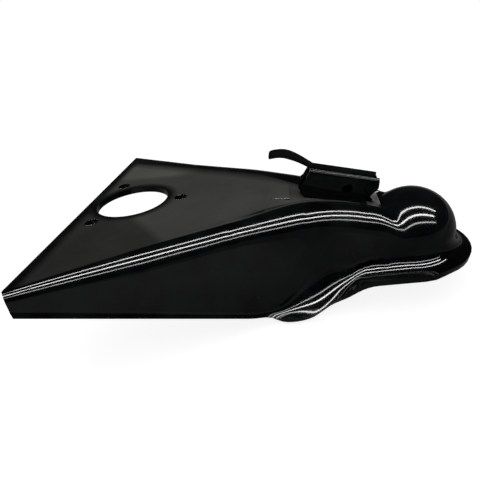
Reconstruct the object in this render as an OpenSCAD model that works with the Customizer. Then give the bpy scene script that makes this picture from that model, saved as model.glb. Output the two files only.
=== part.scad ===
// A-frame trailer coupling head: pressed steel housing, channel latch and ball clamp.
// Millimetres. Origin: centre of the jack hole on the plate's top face.
// +X runs along the trailer's centre line towards the ball, +Z is up.

/* [Plate] */
// Wall thickness of the pressed sheet
sheet_t = 5; // [4:0.5:6]
// Half of the housing's width across its rear end
rear_half_w = 135.8; // [125:0.2:140]
// Distance from the jack hole back to the rear edge
rear_reach = 41.5; // [36:0.5:60]
// Angle of each side wall to the centre line
side_angle = 25; // [24:0.5:26]
// Outer bend radius of the long edges at the rear end
rear_bend_r = 6.5; // [6:0.5:10]
// Outer bend radius of the long edges beside the plate
plate_bend_r = 15; // [12:1:18]

/* [Jack mounting] */
// Diameter of the hole for the jack tube
jack_hole_d = 62.6; // [58:0.2:64]
// Diameter of the circle on which the jack bolts lie
jack_bolt_circle_d = 88.4; // [84:0.2:96]
// Diameter of each jack bolt hole
jack_bolt_d = 10.3; // [9:0.1:12]

/* [Flanges] */
// Depth of the side flange at the rear end
flange_rear_drop = 16.1; // [14:0.5:20]
// Depth of the side flange at its front lower corner
flange_front_drop = 85.5; // [80:0.5:90]
// Distance from the jack hole forward to that corner
flange_corner_x = 111.5; // [106:0.5:116]
// Setback of the flange's lower corner at the rear end
rear_trim = 5.8; // [3:0.2:9]
// Outward reach of the flare along the flange's bottom edge
flare_reach = 3; // [2.5:0.5:6]
// Radius where the flange turns out into its flare
flare_r = 7; // [6:0.5:9]

/* [Neck] */
// Distance from the jack hole to where the latch's trough starts to sink
neck_start_x = 121; // [115:1:128]
// Downward pitch of the trough's floor under the latch
neck_pitch = 10.5; // [9:0.5:12]
// Distance from the jack hole to where the shoulders beside the trough start to fall
shoulder_start_x = 147.5; // [142:0.5:152]
// Downward pitch of the shoulders
shoulder_pitch = 12; // [11:0.5:13]
// Outer bend radius of the neck's top edges
neck_bend_r = 20; // [17:1:22]
// Distance from the jack hole to the start of the saddle's seat
seat_x = 197; // [194:1:199]
// Downward pitch of the saddle's seat
seat_pitch = 18; // [16:0.5:20]
// Length over which the side walls curve into the neck
wall_blend = 34; // [26:1:40]

/* [Lip] */
// Distance from the jack hole to where the lip starts to rise to the neck
lip_rise_x = 157.5; // [152:0.5:162]
// Distance from the jack hole to where the lip levels out along the neck
lip_level_x = 197; // [192:1:208]
// Height of the lip's top face below the plate, where it levels out
lip_drop = 62.3; // [58:0.1:64]
// Upward pitch of the lip from there to the nose
lip_pitch = 3; // [0:0.5:5]
// Outward reach of the lip beside the neck
lip_reach = 17; // [14:0.5:18]
// Outward reach of the lip round the nose
nose_lip_reach = 13; // [10:0.1:15]
// Radius between the neck's wall and its lip
lip_fillet_r = 13; // [11:0.5:14]
// Largest radius between the side wall and the lip, at the shoulder
shoulder_fillet_r = 28; // [20:1:30]
// Flat run of the lip and flare beyond their bend
trim_run = 2; // [1.5:0.5:2.5]

/* [Ball] */
// Diameter of the hitch ball that the socket takes
ball_d = 58.7; // [58:0.1:60]
// Gap all round between the ball and the socket
socket_gap = 1.85; // [1.2:0.05:2.2]
// Distance from the jack hole to the ball's centre
ball_x = 239.8; // [238:0.1:244]
// Depth of the ball's centre below the plate
ball_drop = 45.8; // [45:0.2:48]
// Gap between the ball and the clamp's face when it is shut
clamp_gap = 0.6; // [0.3:0.1:1]

/* [Catch pad] */
// Distance of the pad's raised front edge behind the latch
pad_gap = 14.5; // [12:0.5:20]
// Length of the pad
pad_len = 15; // [12:1:22]
// Width of the pad
pad_w = 31; // [20:1:34]
// Rise of the pad at its front edge
pad_rise = 1.6; // [1:0.1:2.4]

/* [Latch] */
// Distance from the jack hole to the latch's pivot
pivot_x = 204.5; // [203:0.5:206]
// Height of the latch's pivot above the saddle's top face, square to it
pivot_rise = 12.8; // [12:0.1:13.5]
// Downward pitch of the latch channel when it is shut
latch_pitch = 14; // [12:0.5:15]
// Width of the latch channel
latch_w = 19; // [17:0.5:22]
// Sheet thickness of the latch channel
latch_t = 2.5; // [2:0.25:3]
// Outer bend radius along the latch channel's top
latch_bend_r = 5; // [3.5:0.5:6]
// Height of the channel's top face above the pivot
latch_top = 9.2; // [8.8:0.1:10.5]
// Length of the channel behind the pivot
latch_len = 52; // [48:0.5:56]
// Diameter of the safety pin hole through the channel
pin_hole_d = 8.5; // [7:0.5:10]
// Distance of the safety pin hole behind the pivot
pin_hole_back = 17.7; // [14:0.5:26]
// Distance of the safety pin hole below the pivot
pin_hole_down = 3.7; // [2:0.1:6]
// Diameter of the latch's pivot pin
pivot_d = 6; // [5:0.5:6.5]

/* [Tail] */
// Length of the finger tail behind the channel, along its chord
tail_len = 37; // [30:1:42]
// Width of the tail across its middle
tail_mid_w = 16; // [12:0.5:17]
// Width of the tail at its tip
tail_tip_w = 13; // [10:0.5:15]
// Sag of the finger hollow under the tail
tail_sag = 12; // [6:0.5:14]

/* [Saddle] */
// Thickness of the saddle under the latch
saddle_t = 1.5; // [1:0.25:2.5]
// Width of the saddle
saddle_w = 28; // [24:1:30]
// Distance from the jack hole to the saddle's rear edge
saddle_x = 201.7; // [201.5:0.1:202.5]
// Length of the saddle down its seat
saddle_len = 18; // [15:0.5:20]

/* [Clamp] */
// Thickness of the post's flat head
post_t = 5; // [4:0.25:5.5]
// Width of the post's flat head
post_w = 12.6; // [10:0.2:13]
// Diameter of the post's round shank
shank_d = 10; // [8:0.5:10]
// Distance from the jack hole to the post where it meets its seat
post_x = 211.6; // [211:0.1:212.5]
// Height of the clamp jaw
jaw_h = 24; // [20:1:26]
// Radial depth of the clamp jaw behind the ball
jaw_depth = 17; // [15:0.5:18]
// Half of the angle that the jaw spans round the ball
jaw_half_angle = 33; // [26:1:35]
// Size of the lock nut across its flats
nut_af = 17; // [16:0.5:19]
// Height of the lock nut
nut_h = 8; // [6:0.5:10]
// Thickness of the flat washers
washer_t = 1.6; // [1:0.1:2]
// Wire diameter of the clamp's spring
spring_wire = 1.6; // [1.2:0.1:1.8]

/* [Trigger] */
// Thickness of the trigger across the channel
trigger_w = 9; // [7:0.5:11]
// Distance of the trigger's pin ahead of the channel's rear end
trigger_inset = 8; // [6:0.5:11]
// Diameter of the trigger's pin
trigger_pin_d = 4; // [3:0.5:5]
// Depth that the trigger's toe reaches into its slot
toe_depth = 3; // [1.5:0.5:4]

/* [Fits] */
// Gap between faces that slide or lie close
slide_gap = 0.3; // [0.3:0.05:0.6]
// Radial clearance of a pin in its turning bore
turn_gap = 0.06; // [0.02:0.01:0.1]

/* [Hidden] */

ball_r = ball_d / 2;
ball_z = -ball_drop;
// Inner and outer radius of the socket, which set the neck's width
socket_in_r = ball_r + socket_gap;
socket_r = socket_in_r + sheet_t;

paint = "#141414";
zinc = "#b9bcc0";
steel = "#8d9094";

function mix(a, b, t) = a + (b - a) * t;
function ease(t) = let (u = min(1, max(0, t))) u * u * (3 - 2 * u);
function ramp(x, x0, x1) = ease((x - x0) / (x1 - x0));
// Larger of two heights, with a rounded corner over a difference of k
function soft_max(a, b, k) = max(a, b) + pow(max(0, k - abs(a - b)), 2) / (4 * k + 0.001);
// Height lost past x0 on a slope that starts softly over about k
function fall(x, x0, grade, k) = grade * (x - x0 + sqrt((x - x0) * (x - x0) + k * k)) / 2;

// Plan outline of the side walls: straight flank, curved blend, parallel neck
function flank_w(x) = rear_half_w - tan(side_angle) * (x + rear_reach);
flank_end_x = (rear_half_w - socket_r) / tan(side_angle) - rear_reach;
blend_x0 = flank_end_x - wall_blend / 2;
blend_x1 = flank_end_x + wall_blend / 2;
function half_w(x) =
  x < blend_x0 ? flank_w(x)
  : x > blend_x1 ? socket_r
  : socket_r + pow(blend_x1 - x, 2) * tan(side_angle) / (2 * wall_blend);
// Cosine of the wall's plan angle, by which a section across X is stretched
function wall_cos(x) =
  let (grade = (half_w(x - 0.5) - half_w(x + 0.5)))
  1 / sqrt(1 + grade * grade);

// Top of the plate and trough along the centre line
plate_bend_k = 16;
seat_bend_k = 3;
function neck_z(x) =
  -fall(x, neck_start_x, tan(neck_pitch), plate_bend_k)
  - fall(x, seat_x, tan(seat_pitch) - tan(neck_pitch), seat_bend_k);

// The neck's section swells into the ball's half circle over this length
swell_len = 14;
swell_x = ball_x - swell_len;
function swell(x) = ramp(x, swell_x, ball_x);
neck_bend_x0 = 100;
neck_bend_x1 = 145;
rear_bend_len = 84;
function bend_r(x) =
  x < neck_bend_x0
    ? mix(rear_bend_r, plate_bend_r, min(1, (x + rear_reach) / rear_bend_len))
  : x < swell_x ? mix(plate_bend_r, neck_bend_r, ramp(x, neck_bend_x0, neck_bend_x1))
  : mix(neck_bend_r, socket_r, swell(x));

// Shoulders beside the trough: level with the plate, then down to the dome's foot
shoulder_bend_k = 10;
shoulder_fade_x = 206;
shoulder_foot = 1.5;
function shoulder_z(x) =
  mix(
    -fall(x, shoulder_start_x, tan(shoulder_pitch), shoulder_bend_k),
    neck_z(x) + shoulder_foot,
    ramp(x, shoulder_fade_x, swell_x + 2)
  );
function crown_z(x) =
  x < swell_x ? shoulder_z(x) : mix(shoulder_z(swell_x), ball_z + socket_r, swell(x));
dome_blend_k = 4.8;
function dome_k(x) = dome_blend_k * (1 - swell(x));

// Trough for the latch: its floor lies on neck_z, and its sides rise to the shoulders
trough_side_w = 9;
trough_min_side_w = 5;
trough_end_x = 219.5;
function flat_w(x) = half_w(x) - bend_r(x) / wall_cos(x);
function trough_in(x) =
  max(
    flat_w(x) + 1.5 - trough_side_w,
    mix(latch_w / 2 + 1.2, saddle_w / 2 + 3 * slide_gap, ramp(x, saddle_x - 20, saddle_x - 2))
  );
function trough_out(x) = max(flat_w(x) + 1.5, trough_in(x) + trough_min_side_w);
function trough_z(x, y) =
  (crown_z(x) - neck_z(x))
  * (1 - ramp(x, trough_end_x, swell_x))
  * (1 - ramp(y, trough_in(x), trough_out(x)));

// Height of the top skin at x, y, offset inwards by d
function dome_z(x, y, d) =
  let (h = pow(socket_r - d, 2) - pow(x - ball_x, 2) - y * y)
  h > 0 ? ball_z + sqrt(h) : -200;
function skin_z(x, y, d) =
  let (
    r = bend_r(x) - d,
    over = max(0, y - flat_w(x)) * wall_cos(x),
    z = crown_z(x) - trough_z(x, y) - d - r + sqrt(max(0, r * r - over * over))
  )
  soft_max(z, dome_z(x, y, d), dome_k(x));

// Bottom of the side: flange, diagonal lip, level lip
flange_grade = (flange_front_drop - flange_rear_drop) / (flange_corner_x + rear_reach);
lip_grade = (flange_front_drop - lip_drop) / (lip_level_x - lip_rise_x);
corner_k = 5;
lip_bend_k = 4;
function lip_z(x) =
  let (
    flange = -flange_rear_drop - flange_grade * (x + rear_reach),
    diagonal = -lip_drop + lip_grade * (x - lip_level_x),
    nose = -lip_drop + tan(lip_pitch) * max(0, x - lip_level_x),
    lip = soft_max(-flange_front_drop, -soft_max(-diagonal, -nose, lip_bend_k), lip_bend_k)
  )
  soft_max(flange, lip, corner_k);
lip_spread = 44;
function fillet_r(x) =
  flare_r
  + (shoulder_fillet_r - flare_r) * ramp(x, flange_corner_x + 14, flange_corner_x + 48)
  - (shoulder_fillet_r - lip_fillet_r) * ramp(x, lip_rise_x + 5, lip_level_x - 8);
function reach(x) =
  mix(flare_reach, lip_reach, ramp(x, flange_corner_x, flange_corner_x + lip_spread));

// Half section from the centre line out to the trimmed edge, as [y, z]
flat_n = 6;
bend_n = 9;
fillet_n = 6;
half_n = flat_n + bend_n + 1 + fillet_n + 1;
function top_y(x, j, d) =
  let (
    c = wall_cos(x),
    w = half_w(x) - d / c,
    r = (bend_r(x) - d) / c,
    inner = trough_in(x),
    outer = trough_out(x),
    turned = asin(min(1, (outer - flat_w(x)) / r)),
    plain =
      j == 0 ? 0
      : j <= flat_n ? mix(inner, outer, (j - 1) / (flat_n - 1))
      : flat_w(x) + r * sin(mix(turned, 90, (j - flat_n) / bend_n)),
    round = w * sin(90 * j / (flat_n + bend_n))
  )
  mix(plain, round, ramp(x, blend_x1, ball_x));
function half_section(x, lip, d) =
  let (
    c = wall_cos(x),
    w = half_w(x),
    top = [for (j = [0 : flat_n + bend_n]) let (y = top_y(x, j, d)) [y, skin_z(x, y, d)]],
    r = fillet_r(x),
    z0 = lip_z(x) + r,
    last = asin(max(0, 1 - (lip - trim_run) / r)),
    bend = [for (i = [0 : fillet_n])
      let (a = mix(90, last, i / fillet_n))
      [w + (r - (r + d) * sin(a)) / c, z0 - (r + d) * cos(a)]],
    run = lip - r * (1 - sin(last)),
    end = bend[fillet_n] + run * [cos(last) / c, -sin(last)]
  )
  concat(top, bend, [end]);

// Stations: straight sections along X, then half sections turned round the nose
flank_n = 5;
fine_x0 = 92;
fine_n = 34;
nose_n = 20;
station_x = concat(
  [for (i = [0 : flank_n - 1]) mix(-rear_reach, fine_x0, i / flank_n)],
  [for (i = [0 : fine_n]) mix(fine_x0, ball_x, i / fine_n)]
);
station_n = len(station_x);
row_n = 2 * half_n + 1;
nose_blend = 26;
function nose_lip(a) = mix(lip_reach, nose_lip_reach, ramp(min(a, 180 - a), 0, nose_blend));

function skin_points(d) =
  concat(
    [for (x = station_x) let (s = half_section(x, reach(x), d))
      for (j = [-half_n : half_n]) [x, sign(j) * s[abs(j)][0], s[abs(j)][1]]],
    [for (k = [1 : nose_n - 1])
      let (a = 180 * k / nose_n, s = half_section(ball_x, nose_lip(a), d))
      for (j = [1 : half_n]) [ball_x + s[j][0] * sin(a), s[j][0] * cos(a), s[j][1]]]
  );
skin_n = station_n * row_n + (nose_n - 1) * half_n;

// Point numbers: row i and column j of the straight part; turn k of the nose
function at(i, j) = i * row_n + half_n + j;
function nose_at(k, j) =
  k == 0 || j == 0 ? at(station_n - 1, j)
  : k == nose_n ? at(station_n - 1, -j)
  : station_n * row_n + (k - 1) * half_n + j - 1;
function quad(a, b, c, d) = [[a, b, c], [a, c, d]];
skin_faces = concat(
  [for (i = [0 : station_n - 2]) for (j = [-half_n : half_n - 1])
    each quad(at(i, j), at(i, j + 1), at(i + 1, j + 1), at(i + 1, j))],
  [for (k = [0 : nose_n - 1]) [nose_at(k, 0), nose_at(k, 1), nose_at(k + 1, 1)]],
  [for (k = [0 : nose_n - 1]) for (j = [1 : half_n - 1])
    each quad(nose_at(k, j), nose_at(k, j + 1), nose_at(k + 1, j + 1), nose_at(k + 1, j))]
);
// The trimmed edge, once round from the rear right corner to the rear left one
edge = concat(
  [for (i = [0 : station_n - 1]) at(i, half_n)],
  [for (k = [1 : nose_n - 1]) nose_at(k, half_n)],
  [for (i = [station_n - 1 : -1 : 0]) at(i, -half_n)]
);
edge_faces = [for (i = [0 : len(edge) - 2])
  each quad(edge[i], edge[i] + skin_n, edge[i + 1] + skin_n, edge[i + 1])];
rear_faces = [for (j = [-half_n : half_n - 1])
  each quad(at(0, j), at(0, j) + skin_n, at(0, j + 1) + skin_n, at(0, j + 1))];

module pressed_shell() {
  polyhedron(
    points = concat(skin_points(0), skin_points(sheet_t)),
    faces = concat(
      skin_faces,
      [for (f = skin_faces) [f[2] + skin_n, f[1] + skin_n, f[0] + skin_n]],
      edge_faces,
      rear_faces
    ),
    convexity = 8
  );
}

// Seat frame: origin on the neck's top under the post, Z square to the seat
post_seat = [post_x, 0, neck_z(post_x)];
module on_seat() {
  translate(post_seat) rotate([0, seat_pitch, 0]) children();
}
// The same frame's axes, for points worked out in the part's own frame
seat_u = [cos(seat_pitch), 0, -sin(seat_pitch)];
seat_n = [sin(seat_pitch), 0, cos(seat_pitch)];
// Latch frame: origin on the pivot, X forwards along the channel
pivot_along = (pivot_x - post_x - (pivot_rise + saddle_t) * seat_n[0]) / seat_u[0];
pivot = post_seat + pivot_along * seat_u + (pivot_rise + saddle_t) * seat_n;
module on_latch() {
  translate(pivot) rotate([0, latch_pitch, 0]) children();
}
// A point of the part's XZ plane in the latch frame
function to_latch(x, z) =
  let (dx = x - pivot[0], dz = z - pivot[2])
  [dx * cos(latch_pitch) - dz * sin(latch_pitch), dx * sin(latch_pitch) + dz * cos(latch_pitch)];

// Travel of the clamp along its post when the latch is opened
clamp_travel = 5.8;
// Slot for the post, long enough for its lean and its travel
slot_play = 0.8;
slot_w = post_w + 2 * slot_play;
head_lean = atan2(pivot[0] - post_x, pivot[2] - post_seat[2]);
head_slant = head_lean - seat_pitch;
slot_rear = -post_t / 2 / cos(head_slant) + clamp_travel * tan(head_slant) - slot_play;
slot_front = post_t / 2 + slot_play;

// Toe slot, ahead of the catch pad
trigger_back = latch_len - trigger_inset;
toe_u = -trigger_back - 6;
toe_len = 5;
toe_play = 2;
toe_top = to_latch(pivot_x - trigger_back, neck_z(pivot_x - trigger_back))[1];

// Catch pad: a low ramp with rounded edges that stays level as the trough sinks
pad_x = pivot_x - latch_len * cos(latch_pitch) - pad_gap;
pad_start = 0.2;
pad_depth = 4;
pad_edge_r = 1.2;
module catch_pad() {
  front_z = neck_z(pad_x) + pad_rise;
  rear_z = neck_z(pad_x - pad_len) + pad_start;
  translate([pad_x, 0, front_z])
    rotate([0, atan2(rear_z - front_z, pad_len), 0])
      translate([-pad_len, 0, -pad_depth / 2])
        rotate([90, 0, 90])
          linear_extrude(pad_len)
            offset(r = pad_edge_r, $fn = 24)
              square([pad_w - 2 * pad_edge_r, pad_depth - 2 * pad_edge_r], center = true);
}

// Wedge that sets back the lower corners of the rear end
module rear_trim_cut() {
  low = flange_rear_drop + trim_run;
  rotate([90, 0, 0])
    linear_extrude(2 * rear_half_w + 40, center = true)
      polygon([
        [-rear_reach - 1, -rear_bend_r + 2],
        [-rear_reach, -rear_bend_r + 2],
        [-rear_reach + rear_trim, -low],
        [-rear_reach + rear_trim, -low - 10],
        [-rear_reach - 1, -low - 10]
      ]);
}

module coupler_housing() {
  color(paint)
    difference() {
      union() {
        pressed_shell();
        catch_pad();
      }
      rear_trim_cut();
      translate([0, 0, -sheet_t - 1])
        cylinder(d = jack_hole_d, h = sheet_t + 2, $fn = 96);
      for (a = [0, 120, 240])
        rotate([0, 0, a])
          translate([jack_bolt_circle_d / 2, 0, -sheet_t - 1])
            cylinder(d = jack_bolt_d, h = sheet_t + 2, $fn = 40);
      on_seat()
        translate([slot_rear, -slot_w / 2, -sheet_t - 4])
          cube([slot_front - slot_rear, slot_w, sheet_t + 6]);
      on_latch()
        translate([toe_u - toe_play, -trigger_w / 2 - slide_gap, toe_top - sheet_t - 4])
          cube([toe_len + 2 * toe_play, trigger_w + 2 * slide_gap, sheet_t + 6]);
    }
}

module saddle_plate() {
  saddle_back = (saddle_x - post_x) / cos(seat_pitch);
  color(zinc)
    difference() {
      on_seat()
        translate([saddle_back, -saddle_w / 2, slide_gap / 3])
          cube([saddle_len, saddle_w, saddle_t - slide_gap / 3]);
      on_seat()
        translate([slot_front - saddle_len, -slot_w / 2, -1])
          cube([saddle_len, slot_w, saddle_t + 2]);
      translate([ball_x, 0, ball_z])
        sphere(r = socket_r + dome_blend_k + 2 * slide_gap, $fn = 96);
    }
}

// Side outline of the channel in the latch frame
cheek_front = 6.6;
web_front = 3.8;
heel_up = 13.6;
function heel(u) = -heel_up + (u + 2.2) * 0.052;
module cheek_outline() {
  bottom_rear = heel(-latch_len);
  offset(r = 1.2, $fn = 24)
    offset(delta = -1.2)
      polygon([
        [-latch_len + 2, latch_top],
        [cheek_front - 0.6, latch_top],
        [cheek_front + 0.3, 0.6],
        [-2.2, -heel_up],
        [-latch_len + 1.5, bottom_rear],
        [-latch_len - 2.6, bottom_rear + 2.6],
        [-latch_len - 3.2, -8.3],
        [-latch_len + 1.4, 5]
      ]);
}

module latch_channel() {
  inner_w = latch_w - 2 * latch_t;
  color(paint)
    on_latch()
      difference() {
        union() {
          intersection() {
            rotate([90, 0, 0])
              linear_extrude(latch_w, center = true)
                cheek_outline();
            rotate([90, 0, 90])
              translate([0, 0, -latch_len - 10])
                linear_extrude(latch_len + 30)
                  channel_section();
          }
          finger_tail();
        }
        rotate([90, 0, 0])
          cylinder(d = pivot_d, h = latch_w + 2, center = true, $fn = 40);
        translate([-pin_hole_back, 0, -pin_hole_down])
          rotate([90, 0, 0])
            cylinder(d = pin_hole_d, h = latch_w + 2, center = true, $fn = 40);
        translate([-trigger_back, 0, trigger_pin_up])
          rotate([90, 0, 0])
            cylinder(d = trigger_pin_d, h = latch_w + 2, center = true, $fn = 32);
        translate([web_front, -inner_w / 2, 0])
          cube([8, inner_w, latch_top + 2]);
      }
}
module channel_section() {
  r = latch_bend_r;
  depth = 40;
  difference() {
    union() {
      translate([-latch_w / 2, latch_top - depth])
        square([latch_w, depth - r]);
      translate([-latch_w / 2 + r, latch_top - r - 0.5])
        square([latch_w - 2 * r, r + 0.5]);
      for (s = [-1, 1])
        translate([s * (latch_w / 2 - r), latch_top - r])
          circle(r = r, $fn = 48);
    }
    translate([-latch_w / 2 + latch_t, latch_top - depth - 1])
      square([latch_w - 2 * latch_t, depth + 1 - r]);
    translate([-latch_w / 2 + r, latch_top - r - 1])
      square([latch_w - 2 * r, r + 1 - latch_t]);
    for (s = [-1, 1])
      translate([s * (latch_w / 2 - r), latch_top - r])
        circle(r = r - latch_t, $fn = 40);
  }
}

// Centre line of the tail in the latch frame: up from the web, over, and level at the tip
tail_n = 12;
tail_rise = 7.3;
tail_root = [-latch_len + 4, latch_top - latch_t / 2];
function tail_point(t) = [
  tail_root[0] - tail_len * t,
  tail_root[1] + tail_rise * sin(90 * min(1, t / 0.72)) - tail_sag * pow(max(0, t - 0.62), 2) * 2
];
function tail_side(t, s) =
  let (
    g = tail_point(t + 0.01) - tail_point(t - 0.01),
    n = [-g[1], g[0]] / norm(g)
  )
  tail_point(t) - s * mix(latch_t, latch_t * 1.25, t) / 2 * n;
module finger_tail() {
  intersection() {
    rotate([90, 0, 0])
      linear_extrude(latch_w, center = true)
        polygon(concat(
          [for (i = [0 : tail_n]) tail_side(i / tail_n, 1)],
          [for (i = [tail_n : -1 : 0]) tail_side(i / tail_n, -1)]
        ));
    translate([0, 0, -20])
      linear_extrude(80)
        tail_plan();
  }
}
module tail_plan() {
  tip_x = tail_root[0] - tail_len;
  mid_x = tail_root[0] - 0.55 * tail_len;
  root_w = latch_w - 2 * latch_bend_r + 2;
  offset(r = 3, $fn = 32)
    offset(delta = -3)
      polygon([
        [tail_root[0] + 10, root_w / 2],
        [tail_root[0] - 4, root_w / 2],
        [mid_x, tail_mid_w / 2],
        [tip_x, tail_tip_w / 2],
        [tip_x, -tail_tip_w / 2],
        [mid_x, -tail_mid_w / 2],
        [tail_root[0] - 4, -root_w / 2],
        [tail_root[0] + 10, -root_w / 2]
      ]);
}

module pivot_pin() {
  head_d = pivot_d + 4;
  head_h = 1.4;
  color(paint)
    on_latch()
      rotate([90, 0, 0]) {
        cylinder(d = pivot_d, h = latch_w, center = true, $fn = 40);
        for (s = [0, 1])
          mirror([0, 0, s])
            translate([0, 0, latch_w / 2])
              cylinder(d1 = head_d, d2 = head_d - 3, h = head_h, $fn = 40);
      }
}

// Trigger: a bent lever inside the channel's rear end
trigger_pin_up = -1.5;
module trigger() {
  color(paint)
    on_latch()
      difference() {
        rotate([90, 0, 0])
          linear_extrude(trigger_w, center = true)
            offset(r = 1, $fn = 20)
              offset(delta = -1)
                polygon([
                  [-trigger_back + 4.5, 2.6],
                  [-trigger_back + 4.5, -5.5],
                  [toe_u + toe_len, -9],
                  [toe_u + toe_len, toe_top - toe_depth],
                  [toe_u + 1.5, toe_top - toe_depth],
                  [toe_u - 0.2, toe_top - 0.6],
                  [-latch_len - 4.6, -11],
                  [-latch_len - 3.8, -3.5],
                  [-latch_len + 1.2, 2.6]
                ]);
        translate([-trigger_back, 0, trigger_pin_up])
          rotate([90, 0, 0])
            cylinder(d = trigger_pin_d + 2 * turn_gap, h = trigger_w + 2, center = true, $fn = 32);
      }
}
module trigger_pin() {
  color(paint)
    on_latch()
      translate([-trigger_back, 0, trigger_pin_up])
        rotate([90, 0, 0])
          cylinder(d = trigger_pin_d, h = latch_w - 0.4, center = true, $fn = 32);
}
// Leaf that holds the trigger forward: a bowed strip between web and trigger
module trigger_spring() {
  leaf_t = 0.8;
  leaf_w = trigger_w - 2;
  leaf_r = 9;
  web_z = latch_top - latch_t;
  color(steel)
    on_latch()
      translate([-trigger_back + 4.5 + leaf_r * cos(22) + 2 * slide_gap, 0, web_z - leaf_r])
        rotate([90, 0, 0])
          rotate([0, 0, 62])
            rotate_extrude(angle = 96, $fn = 96)
              translate([leaf_r - leaf_t, -leaf_w / 2])
                square([leaf_t, leaf_w]);
}

// Post: flat leaning head with an eye, and a round shank square to the seat
head_len = norm(pivot - post_seat);
shank_len = 56;
shank_head = 6;
module clamp_post() {
  eye_r = pivot_d / 2 + 2.4;
  eye_bore = pivot_d + 2 * turn_gap;
  color(zinc)
    union() {
      translate(post_seat)
        rotate([90, 0, 0])
          linear_extrude(post_w, center = true)
            difference() {
              union() {
                post_side();
                translate([pivot[0] - post_x, pivot[2] - post_seat[2]])
                  circle(r = eye_r, $fn = 48);
              }
              translate([pivot[0] - post_x, pivot[2] - post_seat[2]])
                circle(d = eye_bore, $fn = 40);
            }
      on_seat()
        translate([0, 0, -shank_len])
          cylinder(d = shank_d, h = shank_len - shank_head + 1, $fn = 48);
    }
}
// Side outline of the flat head: a bar that bends from the seat's square to its lean
module post_side() {
  half = post_t / 2;
  bend = head_slant / 2;
  reach_up = head_len - 1;
  up = [sin(head_lean), cos(head_lean)];
  across = [cos(head_lean), -sin(head_lean)];
  down = [-sin(seat_pitch), -cos(seat_pitch)];
  level = [cos(seat_pitch), -sin(seat_pitch)];
  mitre = half / cos(bend) * [cos(seat_pitch + bend), -sin(seat_pitch + bend)];
  polygon([
    reach_up * up - half * across,
    reach_up * up + half * across,
    mitre,
    shank_head * down + half * level,
    shank_head * down - half * level,
    -mitre
  ]);
}

// Jaw: a sector turned about the ball's upright axis, hollowed by the ball
jaw_top = -41;
jaw_face_r = ball_r + clamp_gap;
jaw_bottom_at = shank_len - 12.5;
module ball_clamp() {
  back_r = jaw_face_r + jaw_depth;
  boss_r = shank_d / 2 + 4.5;
  color(steel)
    difference() {
      union() {
        translate([ball_x, 0, 0])
          rotate([0, 0, 180 - jaw_half_angle])
            rotate_extrude(angle = 2 * jaw_half_angle, $fn = 120)
              polygon([
                [jaw_face_r - 6, jaw_top - jaw_h],
                [back_r - 5, jaw_top - jaw_h],
                [back_r - 1, jaw_top - jaw_h + 5],
                [back_r, jaw_top - 9],
                [back_r - 2, jaw_top - 2],
                [back_r - 4, jaw_top],
                [jaw_face_r - 3, jaw_top]
              ]);
        on_seat()
          translate([0, 0, -jaw_bottom_at])
            cylinder(r = boss_r, h = 12, $fn = 60);
      }
      translate([ball_x, 0, ball_z])
        sphere(r = jaw_face_r, $fn = 120);
      on_seat()
        translate([0, 0, -shank_len - 1])
          cylinder(d = shank_d + 2 * turn_gap, h = shank_len, $fn = 48);
      on_seat()
        translate([0, 0, spring_bottom - 0.01])
          cylinder(r = spring_r + spring_wire + 1, h = 30, $fn = 60);
      on_seat()
        translate([0, 0, -jaw_bottom_at - 20])
          cylinder(r = boss_r + 3, h = 20, $fn = 60);
    }
}

// Spring round the shank, between the neck's underside and the jaw
// The spring and its washer clear the post's flat head as it drops
head_clear_r = norm([post_w / 2, post_t / 2 + 1.2]) + slide_gap;
spring_r = head_clear_r + spring_wire / 2;
spring_top = -sheet_t - slide_gap - washer_t;
spring_bottom = -22;
spring_turns = 4.5;
module spring_washer() {
  washer([0, 0, spring_top], spring_r + spring_wire / 2 + 1.5, head_clear_r);
}
module washer(place, r, bore_r) {
  color(zinc)
    on_seat()
      translate(place)
        difference() {
          cylinder(r = r, h = washer_t, $fn = 60);
          translate([0, 0, -1])
            cylinder(r = bore_r, h = washer_t + 2, $fn = 48);
        }
}
module clamp_spring() {
  steps = 16;
  sides = 8;
  turn_n = floor(spring_turns * steps);
  low = spring_bottom + spring_wire / 2 + slide_gap;
  high = spring_top - spring_wire / 2 - slide_gap;
  ring = [for (k = [0 : turn_n]) for (s = [0 : sides - 1])
    let (
      a = 360 * k / steps,
      b = 360 * s / sides,
      r = spring_r + spring_wire / 2 * cos(b)
    )
    [r * cos(a), r * sin(a), mix(low, high, k / turn_n) + spring_wire / 2 * sin(b)]];
  color(steel)
    on_seat()
      polyhedron(
        points = ring,
        faces = concat(
          [[for (s = [0 : sides - 1]) s]],
          [for (k = [0 : turn_n - 1]) for (s = [0 : sides - 1])
            let (n = (s + 1) % sides)
            each quad(k * sides + s, (k + 1) * sides + s, (k + 1) * sides + n, k * sides + n)],
          [[for (s = [sides - 1 : -1 : 0]) turn_n * sides + s]]
        ),
        convexity = 8
      );
}
module nut_washer() {
  washer([0, 0, -jaw_bottom_at - washer_t], shank_d, shank_d / 2 + slide_gap);
}
module lock_nut() {
  color(zinc)
    on_seat()
      translate([0, 0, -jaw_bottom_at - washer_t - nut_h])
        difference() {
          intersection() {
            cylinder(d = nut_af / cos(30), h = nut_h, $fn = 6);
            translate([0, 0, -nut_af / 4])
              cylinder(r1 = nut_af / 2, r2 = nut_af / 2 + nut_h, h = nut_h + nut_af / 4, $fn = 60);
          }
          translate([0, 0, -1])
            cylinder(d = shank_d, h = nut_h + 2, $fn = 48);
        }
}

coupler_housing();
saddle_plate();
latch_channel();
pivot_pin();
trigger();
trigger_pin();
trigger_spring();
clamp_post();
ball_clamp();
clamp_spring();
spring_washer();
nut_washer();
lock_nut();
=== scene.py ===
import math

import bmesh
import bpy
from mathutils import Matrix, Vector


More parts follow.
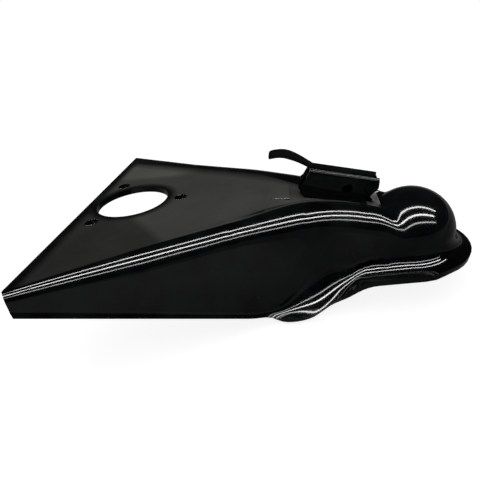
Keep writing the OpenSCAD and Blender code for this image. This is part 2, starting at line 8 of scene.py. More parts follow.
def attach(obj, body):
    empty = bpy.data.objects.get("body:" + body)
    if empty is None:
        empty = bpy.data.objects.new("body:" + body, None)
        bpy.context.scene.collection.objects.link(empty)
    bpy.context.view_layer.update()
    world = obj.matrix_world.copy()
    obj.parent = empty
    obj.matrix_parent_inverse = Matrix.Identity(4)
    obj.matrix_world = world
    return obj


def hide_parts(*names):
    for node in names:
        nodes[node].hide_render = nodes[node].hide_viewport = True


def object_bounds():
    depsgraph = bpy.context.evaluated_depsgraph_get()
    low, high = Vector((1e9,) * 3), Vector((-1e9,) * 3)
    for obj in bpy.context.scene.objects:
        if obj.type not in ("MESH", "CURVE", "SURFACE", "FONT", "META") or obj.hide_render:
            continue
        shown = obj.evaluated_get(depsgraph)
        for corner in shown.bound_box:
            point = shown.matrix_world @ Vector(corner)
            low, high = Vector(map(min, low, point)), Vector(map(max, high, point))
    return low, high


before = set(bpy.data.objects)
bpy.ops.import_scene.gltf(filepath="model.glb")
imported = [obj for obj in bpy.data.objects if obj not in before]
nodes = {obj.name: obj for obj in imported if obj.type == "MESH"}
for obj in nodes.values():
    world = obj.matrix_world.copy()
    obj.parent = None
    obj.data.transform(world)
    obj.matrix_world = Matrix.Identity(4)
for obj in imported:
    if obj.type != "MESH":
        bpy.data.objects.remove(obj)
cad_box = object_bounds()

MM = 0.001


# Helpers for modelling

def deselect():
    """Nothing selected and nothing in edit mode, so that an operator acts on one piece only."""
    if bpy.context.object and bpy.context.object.mode != "OBJECT":
        bpy.ops.object.mode_set(mode="OBJECT")
    bpy.ops.object.select_all(action="DESELECT")


def pick(piece):
    """The one selected and active object."""
    deselect()
    piece.select_set(True)
    bpy.context.view_layer.objects.active = piece


def select_faces(piece, wanted):
    """Selects in edit mode the faces for which wanted(face) is true."""
    pick(piece)
    bpy.ops.object.mode_set(mode="EDIT")
    bpy.ops.mesh.select_mode(type="FACE")
    mesh = bmesh.from_edit_mesh(piece.data)
    for face in mesh.faces:
        face.select_set(wanted(face))
    bmesh.update_edit_mesh(piece.data)


def select_edges(piece, wanted):
    """Selects in edit mode the edges for which wanted(edge) is true."""
    pick(piece)
    bpy.ops.object.mode_set(mode="EDIT")
    bpy.ops.mesh.select_mode(type="EDGE")
    mesh = bmesh.from_edit_mesh(piece.data)
    for edge in mesh.edges:
        edge.select_set(wanted(edge))
    bmesh.update_edit_mesh(piece.data)


def object_mode():
    bpy.ops.object.mode_set(mode="OBJECT")


def apply_modifiers(piece):
    pick(piece)
    for modifier in list(piece.modifiers):
        bpy.ops.object.modifier_apply(modifier=modifier.name)


def settle(piece):
    """Puts the object's place, turn and scale into its mesh."""
    pick(piece)
    bpy.ops.object.transform_apply(location=True, rotation=True, scale=True)


def dressed_copy(node, name, weld=0.002 * MM):
    """A merged copy of a CAD node's mesh, as a piece of its own at the origin."""
    deselect()
    source = nodes[node]
    piece = bpy.data.objects.new(name, source.data.copy())
    bpy.context.scene.collection.objects.link(piece)
    piece.data.materials.clear()
    pick(piece)
    if piece.data.has_custom_normals:
        bpy.ops.mesh.customdata_custom_splitnormals_clear()
    bpy.ops.object.mode_set(mode="EDIT")
    bpy.ops.mesh.select_all(action="SELECT")
    bpy.ops.mesh.remove_doubles(threshold=weld)
    object_mode()
    return piece


def smooth(piece, degrees):
    pick(piece)
    bpy.ops.object.shade_smooth_by_angle(angle=math.radians(degrees))


def weigh_normals(piece):
    """Flat faces keep their own normal, and the bends take up the turn."""
    modifier = piece.modifiers.new("flat_faces", "WEIGHTED_NORMAL")
    modifier.mode = "FACE_AREA"
    modifier.weight = 80
    modifier.keep_sharp = True
    apply_modifiers(piece)


# Shader node groups shared by the materials

def link(tree, a, b):
    tree.links.new(a, b)


def new_group(name, inputs, outputs):
    group = bpy.data.node_groups.new(name, "ShaderNodeTree")
    for label, kind, value in inputs:
        socket = group.interface.new_socket(name=label, in_out="INPUT", socket_type=kind)
        if value is not None:
            socket.default_value = value
    for label, kind in outputs:
        group.interface.new_socket(name=label, in_out="OUTPUT", socket_type=kind)
    start = group.nodes.new("NodeGroupInput")
    end = group.nodes.new("NodeGroupOutput")
    return group, start, end


def noise(tree, vector, scale, detail=4.0, rough=0.55):
    node = tree.nodes.new("ShaderNodeTexNoise")
    node.inputs["Scale"].default_value = scale
    node.inputs["Detail"].default_value = detail
    node.inputs["Roughness"].default_value = rough
    link(tree, vector, node.inputs["Vector"])
    return node


def spread(tree, value, low, high, out_low=0.0, out_high=1.0):
    """value from low..high to out_low..out_high, clamped."""
    node = tree.nodes.new("ShaderNodeMapRange")
    node.inputs["From Min"].default_value = low
    node.inputs["From Max"].default_value = high
    node.inputs["To Min"].default_value = out_low
    node.inputs["To Max"].default_value = out_high
    link(tree, value, node.inputs["Value"])
    return node.outputs["Result"]


def math_node(tree, operation, a, b=None, c=None):
    node = tree.nodes.new("ShaderNodeMath")
    node.operation = operation
    for slot, value in enumerate((a, b, c)):
        if value is None:
            continue
        if isinstance(value, (int, float)):
            node.inputs[slot].default_value = value
        else:
            link(tree, value, node.inputs[slot])
    return node.outputs[0]


def lerp(tree, factor, a, b):
    """a where factor is 0, b where it is 1."""
    node = tree.nodes.new("ShaderNodeMix")
    for slot, value in ((0, factor), (2, a), (3, b)):
        if isinstance(value, (int, float)):
            node.inputs[slot].default_value = value
        else:
            link(tree, value, node.inputs[slot])
    return node.outputs[0]


def blend_colors(tree, factor, a, b):
    node = tree.nodes.new("ShaderNodeMix")
    node.data_type = "RGBA"
    for slot, value in ((0, factor), (6, a), (7, b)):
        if isinstance(value, (int, float, tuple)):
            node.inputs[slot].default_value = value
        else:
            link(tree, value, node.inputs[slot])
    return node.outputs[2]


def object_place(tree, scale=(1, 1, 1)):
    place = tree.nodes.new("ShaderNodeTexCoord")
    mapping = tree.nodes.new("ShaderNodeMapping")
    mapping.inputs["Scale"].default_value = scale
    link(tree, place.outputs["Object"], mapping.inputs["Vector"])
    return mapping.outputs["Vector"]


def orange_peel_group():
    """The long soft waves and the fine grain of sprayed enamel, as a height."""
    group, start, end = new_group(
        "orange_peel",
        [("Vector", "NodeSocketVector", None), ("Wave", "NodeSocketFloat", 1.0),
         ("Grain", "NodeSocketFloat", 0.3)],
        [("Height", "NodeSocketFloat")],
    )
    waves = noise(group, start.outputs["Vector"], 230.0, 2.0)
    grain = noise(group, start.outputs["Vector"], 900.0, 2.0)
    wave_part = math_node(group, "MULTIPLY", waves.outputs["Fac"], start.outputs["Wave"])
    grain_part = math_node(group, "MULTIPLY", grain.outputs["Fac"], start.outputs["Grain"])
    link(group, math_node(group, "ADD", wave_part, grain_part), end.inputs["Height"])
    return group


def dust_group():
    """Patches of handling dust with fine specks in them, as a mask."""
    group, start, end = new_group(
        "handling_dust",
        [("Vector", "NodeSocketVector", None), ("Amount", "NodeSocketFloat", 0.5)],
        [("Mask", "NodeSocketFloat"), ("Specks", "NodeSocketFloat")],
    )
    patches = noise(group, start.outputs["Vector"], 22.0, 5.0, 0.6)
    specks = noise(group, start.outputs["Vector"], 1300.0, 2.0, 0.7)
    clouds = spread(group, patches.outputs["Fac"], 0.42, 0.72)
    bits = spread(group, specks.outputs["Fac"], 0.62, 0.75)
    mask = math_node(group, "MULTIPLY", clouds, start.outputs["Amount"])
    link(group, mask, end.inputs["Mask"])
    link(group, math_node(group, "MULTIPLY", bits, mask), end.inputs["Specks"])
    return group


def scuff_group():
    """Short fine scratches along one direction, as a mask."""
    group, start, end = new_group(
        "fine_scuffs",
        [("Vector", "NodeSocketVector", None), ("Amount", "NodeSocketFloat", 0.5)],
        [("Mask", "NodeSocketFloat")],
    )
    lines = noise(group, start.outputs["Vector"], 60.0, 3.0, 0.7)
    where = noise(group, start.outputs["Vector"], 3.0, 3.0, 0.5)
    thin = spread(group, lines.outputs["Fac"], 0.66, 0.72)
    some = spread(group, where.outputs["Fac"], 0.5, 0.62)
    both = math_node(group, "MULTIPLY", thin, some)
    link(group, math_node(group, "MULTIPLY", both, start.outputs["Amount"]), end.inputs["Mask"])
    return group


# The painted reflection on the plate: a pale grey on its level top for the backdrop it mirrors,
# with painted shade left at the rear edge and round the jack hole. Each pair is where it starts
# and where it is full, in metres:
REFLECT_REAR = (-0.036, -0.029)       # along X, from the rear edge
REFLECT_HOLE = (0.034, 0.041)         # out from the jack hole's centre
REFLECT_FLANK = (0.022, 0.04)         # in from the flank's line
REFLECT_LOW = (-0.03, -0.022)         # up along Z, off the lip
REFLECT_STEP = (-0.024, -0.014)       # the slanted line where the painted reflection gets stronger
REFLECT_SLANT = 0.88
REFLECT_WEAK, REFLECT_STRONG = 0.27, 0.58
REFLECT_FAR = (0.035, 0.06)           # along Y, the stronger band on the far side
REFLECT_FAR_END = (0.02, 0.06)        # along X, where that band weakens
REFLECT_FRONT = (0.12, 0.135)         # along X, where the neck's floor gets a little more
REFLECT_FRONT_EXTRA = 0.25
REFLECT_END = (0.185, 0.2)            # along X, where it ends before the dome
# The flank's line seen from above: its distance from the centre line at X = 0, and its slope
FLANK_AT_ORIGIN = 0.1165
FLANK_SLOPE = 0.466


def plate_reflection_group():
    """How strong the painted reflection is: weak behind the slanted line, stronger towards the
    neck, and left out at the rear edge and round the jack hole, which stay dark as painted
    shade.
    """
    group, start, end = new_group(
        "plate_reflection_mask",
        [("Vector", "NodeSocketVector", None)],
        [("Mask", "NodeSocketFloat")],
    )
    parts = group.nodes.new("ShaderNodeSeparateXYZ")
    link(group, start.outputs["Vector"], parts.inputs["Vector"])
    along, across = parts.outputs["X"], parts.outputs["Y"]
    rear = spread(group, along, *REFLECT_REAR)
    squares = math_node(
        group, "ADD",
        math_node(group, "POWER", along, 2.0),
        math_node(group, "POWER", across, 2.0),
    )
    ring = spread(group, math_node(group, "SQRT", squares), *REFLECT_HOLE)
    slanted = math_node(group, "ADD", along, math_node(group, "MULTIPLY", across, REFLECT_SLANT))
    middle = spread(group, slanted, *REFLECT_STEP, REFLECT_WEAK, REFLECT_STRONG)
    far_side = math_node(
        group, "MULTIPLY",
        spread(group, across, *REFLECT_FAR),
        spread(group, along, *REFLECT_FAR_END, 1.0, 0.5),
    )
    front = spread(group, along, *REFLECT_FRONT, 0.0, REFLECT_FRONT_EXTRA)
    clouds = noise(group, start.outputs["Vector"], 14.0, 4.0, 0.55)
    uneven = spread(group, clouds.outputs["Fac"], 0.3, 0.7, 0.75, 1.15)
    before_dome = spread(group, along, *REFLECT_END, 1.0, 0.0)
    above_lip = spread(group, parts.outputs["Z"], *REFLECT_LOW)
    flank = math_node(group, "ADD", across, math_node(group, "MULTIPLY", along, FLANK_SLOPE))
    inside = spread(group, math_node(group, "SUBTRACT", FLANK_AT_ORIGIN, flank), *REFLECT_FLANK)
    # thickness here is the strength of the painted reflection
    thickness = math_node(group, "ADD", math_node(group, "MAXIMUM", middle, far_side), front)
    mask = math_node(group, "MULTIPLY", rear, ring)
    for part in (thickness, uneven, before_dome, above_lip, inside):
        mask = math_node(group, "MULTIPLY", mask, part)
    link(group, mask, end.inputs["Mask"])
    return group


orange_peel = orange_peel_group()
plate_reflection_mask = plate_reflection_group()
dust = dust_group()
scuffs = scuff_group()


def use_group(tree, group, vector, **values):
    node = tree.nodes.new("ShaderNodeGroup")
    node.node_tree = group
    link(tree, vector, node.inputs["Vector"])
    for name, value in values.items():
        node.inputs[name].default_value = value
    return node


def new_material(name, roughness, metallic, specular):
    material = bpy.data.materials.new(name)
    material.use_nodes = True
    shader = material.node_tree.nodes["Principled BSDF"]
    shader.inputs["Roughness"].default_value = roughness
    shader.inputs["Metallic"].default_value = metallic
    shader.inputs["Specular IOR Level"].default_value = specular
    return material, material.node_tree, shader


def bump(tree, shader, height, distance):
    node = tree.nodes.new("ShaderNodeBump")
    node.inputs["Distance"].default_value = distance
    link(tree, height, node.inputs["Height"])
    link(tree, node.outputs["Normal"], shader.inputs["Normal"])


def facing_up(tree):
    """1 on faces that look up without leaning to a side, 0 on the bends and sides."""
    geometry = tree.nodes.new("ShaderNodeNewGeometry")
    parts = tree.nodes.new("ShaderNodeSeparateXYZ")
    link(tree, geometry.outputs["Normal"], parts.inputs["Vector"])
    lean = math_node(tree, "ABSOLUTE", parts.outputs["Y"])
    level = spread(tree, lean, *FLAT_LEAN, 1.0, 0.0)
    upright = spread(tree, parts.outputs["Z"], *FLAT_UPRIGHT)
    return math_node(tree, "MULTIPLY", level, upright)


# Enamel

ENAMEL_DEEP = (0.0012, 0.0014, 0.0018, 1)
ENAMEL_SHEEN = (0.0042, 0.0062, 0.0062, 1)
# The pale grey painted on level tops as a reflection of the backdrop
PAINTED_REFLECTION_GREY = (0.11, 0.112, 0.1, 1)
DUST_COLOR = (0.09, 0.088, 0.08, 1)
ENAMEL_SPECULAR = 0.08
# How far a face's normal may lean to a side, and how upright it must be, to count as level
FLAT_LEAN = (0.04, 0.13)
FLAT_UPRIGHT = (0.9, 0.97)
# A painted grey above this follows the plate's painted reflection mask, and one below it is
# even, on a small piece
PLATE_GREY_LIMIT = 0.2
ENAMEL_CLOUDING = 0.12
PEEL_DEPTH = 0.005 * MM


def black_enamel(name, dust_amount=0.35, roughness=0.08, painted_grey=0.0, specular=ENAMEL_SPECULAR):
    """Black enamel over sheet; the grey amount is how far a painted reflection greys its level
    top.
    """
    material, tree, shader = new_material(name, roughness, 0.0, specular)
    place = object_place(tree)
    up = facing_up(tree)
    dusty = use_group(tree, dust, place, Amount=dust_amount)
    scuffed = use_group(tree, scuffs, object_place(tree, (1, 0.08, 1)), Amount=0.5)
    mottle = noise(tree, place, 45.0, 5.0, 0.62)
    mottled = spread(tree, mottle.outputs["Fac"], 0.38, 0.66)
    base = blend_colors(tree, mottled, ENAMEL_DEEP, ENAMEL_SHEEN)
    # Painted reflection: the level tops are greyed as if mirroring the pale backdrop
    reflection_mask = math_node(tree, "MULTIPLY", up, painted_grey)
    if painted_grey > PLATE_GREY_LIMIT:
        flat = use_group(tree, plate_reflection_mask, place)
        reflection_mask = math_node(tree, "MULTIPLY", reflection_mask, flat.outputs["Mask"])
    base = blend_colors(tree, reflection_mask, base, PAINTED_REFLECTION_GREY)
    hazed = math_node(tree, "MULTIPLY", dusty.outputs["Mask"], spread(tree, up, 0, 1, 0.04, 0.2))
    base = blend_colors(tree, hazed, base, DUST_COLOR)
    specks = math_node(tree, "MULTIPLY", dusty.outputs["Specks"], 0.4)
    base = blend_colors(tree, specks, base, DUST_COLOR)
    scratches = math_node(tree, "MULTIPLY", scuffed.outputs["Mask"], 0.25)
    base = blend_colors(tree, scratches, base, DUST_COLOR)
    link(tree, base, shader.inputs["Base Color"])
    cloudy = math_node(tree, "ADD", dusty.outputs["Mask"], scuffed.outputs["Mask"])
    rough = spread(tree, cloudy, 0, 1, roughness, roughness + ENAMEL_CLOUDING)
    link(tree, rough, shader.inputs["Roughness"])
    peel = use_group(tree, orange_peel, place, Grain=0.04)
    bump(tree, shader, peel.outputs["Height"], PEEL_DEPTH)
    return material


# Zinc and plain steel

ZINC_DARK, ZINC_LIGHT = (0.33, 0.34, 0.34, 1), (0.62, 0.62, 0.6, 1)
STEEL_DARK, STEEL_LIGHT = (0.2, 0.2, 0.205, 1), (0.4, 0.4, 0.405, 1)
DRAWN_DEPTH = 0.02 * MM
FORGED_DEPTH = 0.04 * MM


def bright_zinc(name):
    material, tree, shader = new_material(name, 0.34, 0.9, 0.5)
    place = object_place(tree)
    tone = noise(tree, place, 160.0, 5.0, 0.65)
    clouds = spread(tree, tone.outputs["Fac"], 0.35, 0.68)
    link(tree, blend_colors(tree, clouds, ZINC_DARK, ZINC_LIGHT), shader.inputs["Base Color"])
    rough = spread(tree, tone.outputs["Fac"], 0.3, 0.7, 0.28, 0.46)
    link(tree, rough, shader.inputs["Roughness"])
    drawn = noise(tree, object_place(tree, (1, 1, 0.06)), 1500.0, 3.0)
    bump(tree, shader, drawn.outputs["Fac"], DRAWN_DEPTH)
    return material


def plain_steel(name):
    material, tree, shader = new_material(name, 0.45, 0.9, 0.5)
    place = object_place(tree)
    tone = noise(tree, place, 120.0, 6.0, 0.7)
    clouds = spread(tree, tone.outputs["Fac"], 0.3, 0.7)
    link(tree, blend_colors(tree, clouds, STEEL_DARK, STEEL_LIGHT), shader.inputs["Base Color"])
    rough = spread(tree, tone.outputs["Fac"], 0.3, 0.7, 0.35, 0.6)
    link(tree, rough, shader.inputs["Roughness"])
    grain = noise(tree, place, 800.0, 4.0)
    bump(tree, shader, grain.outputs["Fac"], FORGED_DEPTH)
    return material


# Each enamel's grey amount is a painted reflection on its level tops: full on the plate, faint
# on the latch and trigger
enamel = black_enamel("gloss_black_enamel", painted_grey=1.0)
latch_enamel = black_enamel("latch_enamel", dust_amount=0.1, painted_grey=0.012, specular=0.03)
dull_black = black_enamel("dull_black_pins", dust_amount=0.1, roughness=0.3, specular=0.03)
# The pad's front faces: a painted highlight greys them, with more dust and a rougher finish
dust_and_highlight_enamel = black_enamel("dust_and_highlight_enamel", dust_amount=0.6, roughness=0.3, painted_grey=0.19)
zinc = bright_zinc("clear_zinc_plate")
steel = plain_steel("forged_steel")


# The housing

# Where the rear edge of the plate ends and its corner is clipped: a point on the cut
# and the way the cut faces, both for the left side
REAR_CORNER = (-41.5 * MM, 129.2 * MM)
CORNER_FACES = (-0.81, 0.58)

# Edges that turn less than this many degrees are shaded smooth
PRESSED_ANGLE = 34
SKIN_ANGLE = 20
BEAD_ANGLE = 50
BROKEN_ANGLE = 40


def pressed_housing():
    """The CAD shell with its rear corners clipped as in the photo, and its bends smooth."""
    piece = dressed_copy("coupler_housing", "pressed_housing")
    for side in (-1, 1):
        pick(piece)
        bpy.ops.object.mode_set(mode="EDIT")
        bpy.ops.mesh.select_all(action="SELECT")
        bpy.ops.mesh.bisect(
            plane_co=(REAR_CORNER[0], side * REAR_CORNER[1], 0),
            plane_no=(CORNER_FACES[0], side * CORNER_FACES[1], 0),
            clear_outer=True, use_fill=True,
        )
        object_mode()
    smooth(piece, PRESSED_ANGLE)
    weigh_normals(piece)
    piece.data.materials.append(enamel)
    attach(piece, "coupler")
    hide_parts("coupler_housing")
    return piece


# The plate's painted reflection lies on a skin of its own on the level faces, so that the strips
# don't mirror in it:
# its thickness, the lean to a side and the upright part of a level face's normal, and its end
SKIN_DEPTH = 0.12 * MM
LEVEL_LEAN = 0.03
LEVEL_UPRIGHT = 0.975
LEVEL_END = 190 * MM


def painted_reflection_skin(housing):
    """A thin closed skin, half sunk in the plate's flat and the neck's level floor."""

    def level(face):
        place, way = face.calc_center_median(), face.normal
        faces_up = abs(way.y) < LEVEL_LEAN and way.z > LEVEL_UPRIGHT
        return faces_up and place.x < LEVEL_END and place.z > REFLECT_LOW[0]

    select_faces(housing, level)
    bpy.ops.mesh.duplicate()
    bpy.ops.mesh.separate(type="SELECTED")
    object_mode()
    piece = next(o for o in bpy.context.selected_objects if o != housing)
    piece.name = "painted_reflection_skin"
    piece.data.materials.clear()
    pick(piece)
    if piece.data.has_custom_normals:
        bpy.ops.mesh.customdata_custom_splitnormals_clear()
    skin = piece.modifiers.new("skin", "SOLIDIFY")
    skin.thickness = SKIN_DEPTH
    skin.offset = 0.0
    skin.use_even_offset = True
    apply_modifiers(piece)
    smooth(piece, SKIN_ANGLE)
    piece.data.materials.append(enamel)
    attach(piece, "coupler")
    return piece


# The pad that the trigger shuts against: its front edge, its length, width and depth, how far
# its cap stands over the solid's pad, its edges' radius, and the tilt of its front faces with
# the painted highlight
PAD_FRONT_X = 139.545 * MM
PAD_SIZE = (15 * MM, 31 * MM, 3 * MM)
PAD_PROUD = 0.05 * MM
PAD_ROUND = 1.1 * MM
HIGHLIGHT_FRONT_TILT = 0.3
ABOVE_ALL = 100 * MM


def height_at(piece, x):
    """The height of the piece's top on the centre line."""
    hit, place, normal, index = piece.ray_cast(Vector((x, 0, ABOVE_ALL)), Vector((0, 0, -1)))
    return place.z


def catch_pad(housing):
    """The raised pad pressed into the neck, with the round edges that catch the light."""
    length, width, depth = PAD_SIZE
    rear, front = PAD_FRONT_X - 0.9 * length, PAD_FRONT_X - 0.1 * length
    fall = height_at(housing, rear) - height_at(housing, front)
    pitch = math.atan2(fall, front - rear)
    middle = (rear + front) / 2
    deselect()
    bpy.ops.mesh.primitive_cube_add(size=1)
    piece = bpy.context.object
    piece.name = "catch_pad"
    piece.scale = (length, width, depth)
    settle(piece)
    select_edges(piece, lambda edge: all(v.co.z > 0 for v in edge.verts))
    bpy.ops.mesh.bevel(offset=PAD_ROUND, segments=5, profile=0.5)
    object_mode()
    piece.rotation_euler = (0, pitch, 0)
    sunk = depth / 2 * math.cos(pitch)
    piece.location = (middle, 0, height_at(housing, middle) + PAD_PROUD - sunk)
    settle(piece)
    smooth(piece, PRESSED_ANGLE)
    weigh_normals(piece)
    piece.data.materials.append(enamel)
    piece.data.materials.append(dust_and_highlight_enamel)
    # The front faces take the enamel with the painted highlight
    for face in piece.data.polygons:
        if face.normal.x > HIGHLIGHT_FRONT_TILT:
            face.material_index = 1
    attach(piece, "coupler")
    return piece


# Bolt holes: the circle's radius, a hole's radius and their turns, then the bead of paint
# round each: its radius, how flat it is, and how far below the plate it is cut off
BOLT_CIRCLE = 44.2 * MM
BOLT_HOLE = 5.15 * MM
BOLT_TURNS = (0, 120, 240)
BEAD = 0.45 * MM
BEAD_FLAT = 0.7
BEAD_CUT = 0.2 * BEAD


def painted_rims():
    """The thick bead of paint left round the edge of each bolt hole."""
    rims = []
    for turn in BOLT_TURNS:
        deselect()
        bpy.ops.mesh.primitive_torus_add(
            major_segments=48, minor_segments=12,
            major_radius=BOLT_HOLE + BEAD * 0.8, minor_radius=BEAD,
        )
        rim = bpy.context.object
        bpy.ops.object.mode_set(mode="EDIT")
        bpy.ops.mesh.select_all(action="SELECT")
        bpy.ops.transform.resize(value=(1, 1, BEAD_FLAT))
        bpy.ops.mesh.bisect(
            plane_co=(0, 0, -BEAD_CUT), plane_no=(0, 0, 1), clear_inner=True, use_fill=False
        )
        object_mode()
        angle = math.radians(turn)
        rim.location = (BOLT_CIRCLE * math.cos(angle), BOLT_CIRCLE * math.sin(angle), 0)
        settle(rim)
        rims.append(rim)
    deselect()
    for rim in rims:
        rim.select_set(True)
    bpy.context.view_layer.objects.active = rims[0]
    bpy.ops.object.join()
    piece = bpy.context.object
    piece.name = "painted_rims"
    smooth(piece, BEAD_ANGLE)
    piece.data.materials.append(enamel)
    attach(piece, "coupler")
    return piece


# The latch and the trigger: the turn below which faces are merged, the turn above which an
# edge is broken, and how far each piece's edges are
MERGED_TURN = 0.5
SHARP_TURN = 38
LATCH_EDGE = 0.35 * MM
TRIGGER_EDGE = 0.3 * MM


def pressed_part(node, name, body, width, finish):
    """A CAD node with its sharp sheet edges broken, as tumbling and paint leave them."""
    piece = dressed_copy(node, name)
    pick(piece)
    bpy.ops.object.mode_set(mode="EDIT")
    bpy.ops.mesh.select_all(action="SELECT")
    bpy.ops.mesh.dissolve_limited(angle_limit=math.radians(MERGED_TURN))
    object_mode()
    rounding = piece.modifiers.new("broken_edges", "BEVEL")
    rounding.width = width
    rounding.segments = 2
    rounding.limit_method = "ANGLE"
    rounding.angle_limit = math.radians(SHARP_TURN)
    rounding.harden_normals = False
    apply_modifiers(piece)
    smooth(piece, BROKEN_ANGLE)
    weigh_normals(piece)
    piece.data.materials.append(finish)
    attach(piece, body)
    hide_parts(node)
    return piece


housing_piece = pressed_housing()
painted_reflection_skin(housing_piece)
glossy_pieces = [
    housing_piece,
    catch_pad(housing_piece),
    painted_rims(),
    pressed_part("latch_channel", "latch_pressing", "latch", LATCH_EDGE, latch_enamel),
    pressed_part("trigger", "trigger_plate", "trigger", TRIGGER_EDGE, latch_enamel),
]

# The fittings keep their CAD solids, with a finish of their own

FINISHES = {
    "pivot_pin": dull_black,
    "saddle_plate": zinc,
    "clamp_post": zinc,
    "spring_washer": zinc,
    "nut_washer": zinc,
    "lock_nut": zinc,
    "trigger_pin": dull_black,
    "trigger_spring": steel,
    "clamp_spring": steel,
    "ball_clamp": steel,
}
for node_name, finish in FINISHES.items():
    for slot in nodes[node_name].material_slots:
        slot.material = finish
metal_pieces = [nodes[name] for name, finish in FINISHES.items() if finish in (zinc, steel)]


# Floor, camera and light

FLOOR_SIDE = 6
FLOOR_PLACE = (0.1, 0.4)
FLOOR_GAP = 3 * MM
FLOOR_TONE = (0.35, 0.35, 0.35, 1)
FLOOR_GLOW = 0.86
# The floor as the enamel mirrors it, in metres, with painted shade. Along Y it fades behind the
# part.
# Near the part's outline it holds a painted shadow that it comes out of further away, and along
# X it is dimmer by the nose.
FLOOR_FADE = (-0.02, 0.15)
FLOOR_BEHIND = 0.04
FLOOR_SHADE = (0.01, 0.11)
FLOOR_SHADED = 0.12
NOSE_SIDE = 0.045
FLOOR_NOSE = (0.19, 0.25)
FLOOR_NOSE_DIM = 0.3
# The world's light on matt surfaces, and the heights between which its mirror image dims
PLAIN_LIGHT = 0.5
CEILING_START = (-0.05, 0.06)
CEILING_DIM = 0.03


def white_floor():
    """White to the camera with the part's shadow on it, and clear when seen from below."""
    deselect()
    height = cad_box[0][2] - FLOOR_GAP
    bpy.ops.mesh.primitive_plane_add(size=FLOOR_SIDE, location=(*FLOOR_PLACE, height))
    floor = bpy.context.object
    floor.name = "floor"
    settle(floor)
    material = bpy.data.materials.new("white_floor")
    material.use_nodes = True
    tree = material.node_tree
    tree.nodes.clear()
    surface = tree.nodes.new("ShaderNodeBsdfDiffuse")
    surface.inputs["Color"].default_value = FLOOR_TONE
    glow = tree.nodes.new("ShaderNodeEmission")
    path = tree.nodes.new("ShaderNodeLightPath")
    parts = tree.nodes.new("ShaderNodeSeparateXYZ")
    link(tree, object_place(tree), parts.inputs["Vector"])
    behind = spread(tree, parts.outputs["Y"], *FLOOR_FADE, 1.0, FLOOR_BEHIND)
    flank = math_node(tree, "MULTIPLY_ADD", parts.outputs["X"], FLANK_SLOPE, -FLANK_AT_ORIGIN)
    outline = math_node(tree, "MINIMUM", flank, -NOSE_SIDE)
    ahead = math_node(tree, "SUBTRACT", outline, parts.outputs["Y"])
    under = spread(tree, ahead, *FLOOR_SHADE, FLOOR_SHADED, 1.0)
    nose = spread(tree, parts.outputs["X"], *FLOOR_NOSE, 1.0, FLOOR_NOSE_DIM)
    under = math_node(tree, "MULTIPLY", under, nose)
    shaded = math_node(tree, "MULTIPLY", behind, under)
    mirrored = math_node(tree, "MULTIPLY", path.outputs["Is Glossy Ray"], shaded)
    seen = math_node(tree, "MAXIMUM", path.outputs["Is Camera Ray"], mirrored)
    seen = math_node(tree, "MAXIMUM", seen, path.outputs["Is Transmission Ray"])
    link(tree, spread(tree, seen, 0, 1, 0.0, FLOOR_GLOW), glow.inputs["Strength"])
    both = tree.nodes.new("ShaderNodeAddShader")
    link(tree, surface.outputs[0], both.inputs[0])
    link(tree, glow.outputs[0], both.inputs[1])
    geometry = tree.nodes.new("ShaderNodeNewGeometry")
    clear = tree.nodes.new("ShaderNodeBsdfTransparent")
    one_sided = tree.nodes.new("ShaderNodeMixShader")
    link(tree, geometry.outputs["Backfacing"], one_sided.inputs[0])
    link(tree, both.outputs[0], one_sided.inputs[1])
    link(tree, clear.outputs[0], one_sided.inputs[2])
    out = tree.nodes.new("ShaderNodeOutputMaterial")
    link(tree, one_sided.outputs[0], out.inputs["Surface"])
    floor.data.materials.append(material)


def pale_world():
    """White to the camera, and in reflections white at the horizon under a dim ceiling."""
    world = bpy.data.worlds.new("pale_world")
    bpy.context.scene.world = world
    world.use_nodes = True
    tree = world.node_tree
    background = tree.nodes["Background"]
    background.inputs["Color"].default_value = (1, 1, 1, 1)
    heading = tree.nodes.new("ShaderNodeTexCoord")
    parts = tree.nodes.new("ShaderNodeSeparateXYZ")
    link(tree, heading.outputs["Generated"], parts.inputs["Vector"])
    mirrored = spread(tree, parts.outputs["Z"], *CEILING_START, 1.0, CEILING_DIM)
    path = tree.nodes.new("ShaderNodeLightPath")
    strength = lerp(tree, path.outputs["Is Glossy Ray"], PLAIN_LIGHT, mirrored)
    whole = math_node(
        tree, "MAXIMUM", path.outputs["Is Camera Ray"], path.outputs["Is Transmission Ray"]
    )
    link(tree, math_node(tree, "MAXIMUM", strength, whole), background.inputs["Strength"])


# The photograph's camera, in the part's frame
PHOTO_SIDE = 480
AZIMUTH = 0.151458
ELEVATION = 0.470071
ROLL = -0.139968
DISTANCE = 365.448 * MM
AIM = Vector((100, 0, -30)) * MM
AIM_PIXEL = (247.549, 222.546)
FOCAL_PIXELS = 408.93
SENSOR = 36


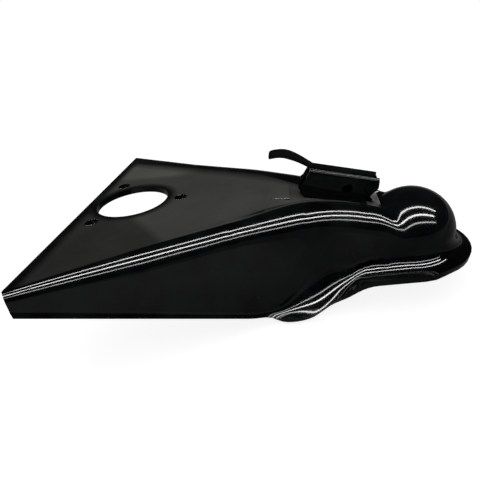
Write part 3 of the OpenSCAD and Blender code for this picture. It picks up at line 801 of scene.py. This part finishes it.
def photo_camera():
    """The camera that the photo was fitted with, at the photo's own frame."""
    forward = Vector((
        -math.sin(AZIMUTH) * math.cos(ELEVATION),
        math.cos(AZIMUTH) * math.cos(ELEVATION),
        -math.sin(ELEVATION),
    ))
    right = forward.cross(Vector((0, 0, 1))).normalized()
    up = right.cross(forward)
    across = math.cos(ROLL) * right + math.sin(ROLL) * up
    upward = math.cos(ROLL) * up - math.sin(ROLL) * right
    lens = bpy.data.cameras.new("photo_camera")
    camera = bpy.data.objects.new("photo_camera", lens)
    bpy.context.scene.collection.objects.link(camera)
    turn = Matrix((across, upward, -forward)).transposed().to_4x4()
    camera.matrix_world = Matrix.Translation(AIM - DISTANCE * forward) @ turn
    lens.sensor_width = SENSOR
    lens.lens = FOCAL_PIXELS / PHOTO_SIDE * SENSOR
    lens.shift_x = (PHOTO_SIDE / 2 - AIM_PIXEL[0]) / PHOTO_SIDE
    lens.shift_y = (AIM_PIXEL[1] - PHOTO_SIDE / 2) / PHOTO_SIDE
    lens.clip_start = 0.01
    bpy.context.scene.camera = camera


# One wide soft lamp lights the part, with a twin that only shows in the bare metal
SOFT_PLACE = (0.1, -0.25, 0.9)
SOFT_SIDE = 0.9
SOFT_RADIANCE = 0.75

# Three long strips only show as lines in the gloss: across, up and width in metres, radiance
STRIPS = (
    (-0.090, 0.50, 0.034, 140),
    (-0.315, 0.50, 0.042, 180),
    (-0.415, 0.30, 0.030, 75),
)
STRIP_LENGTH = 2.1
STRIP_X = -0.1


def area_lamp(name, place, size, radiance):
    """A rectangle of light, its first side along X, that looks at the X axis."""
    lamp = bpy.data.lights.new(name, "AREA")
    lamp.shape = "RECTANGLE"
    lamp.size, lamp.size_y = size
    lamp.energy = radiance * math.pi * size[0] * size[1]
    holder = bpy.data.objects.new(name, lamp)
    bpy.context.scene.collection.objects.link(holder)
    away = Vector((0, place[1], place[2])).normalized()
    holder.matrix_world = Matrix.Translation(place) @ Matrix(
        (Vector((1, 0, 0)), away.cross(Vector((1, 0, 0))), away)
    ).transposed().to_4x4()
    return holder


def shine_only_on(lamp, pieces):
    """Limits a lamp to these pieces, so that the long strips don't burn out the bare metal."""
    lit = bpy.data.collections.new(lamp.name + "_lights")
    for piece in pieces:
        lit.objects.link(piece)
    lamp.light_linking.receiver_collection = lit


def studio_lamps():
    soft = area_lamp("soft_lamp", SOFT_PLACE, (SOFT_SIDE, SOFT_SIDE), SOFT_RADIANCE)
    soft.visible_glossy = False
    glow = area_lamp("soft_glow", SOFT_PLACE, (SOFT_SIDE, SOFT_SIDE), SOFT_RADIANCE)
    glow.visible_diffuse = False
    shine_only_on(glow, metal_pieces)
    for number, (y, z, width, radiance) in enumerate(STRIPS):
        strip = area_lamp(f"strip_{number}", (STRIP_X, y, z), (STRIP_LENGTH, width), radiance)
        strip.visible_diffuse = False
        shine_only_on(strip, glossy_pieces)


white_floor()
pale_world()
photo_camera()
studio_lamps()
bpy.context.scene.view_settings.view_transform = "Standard"
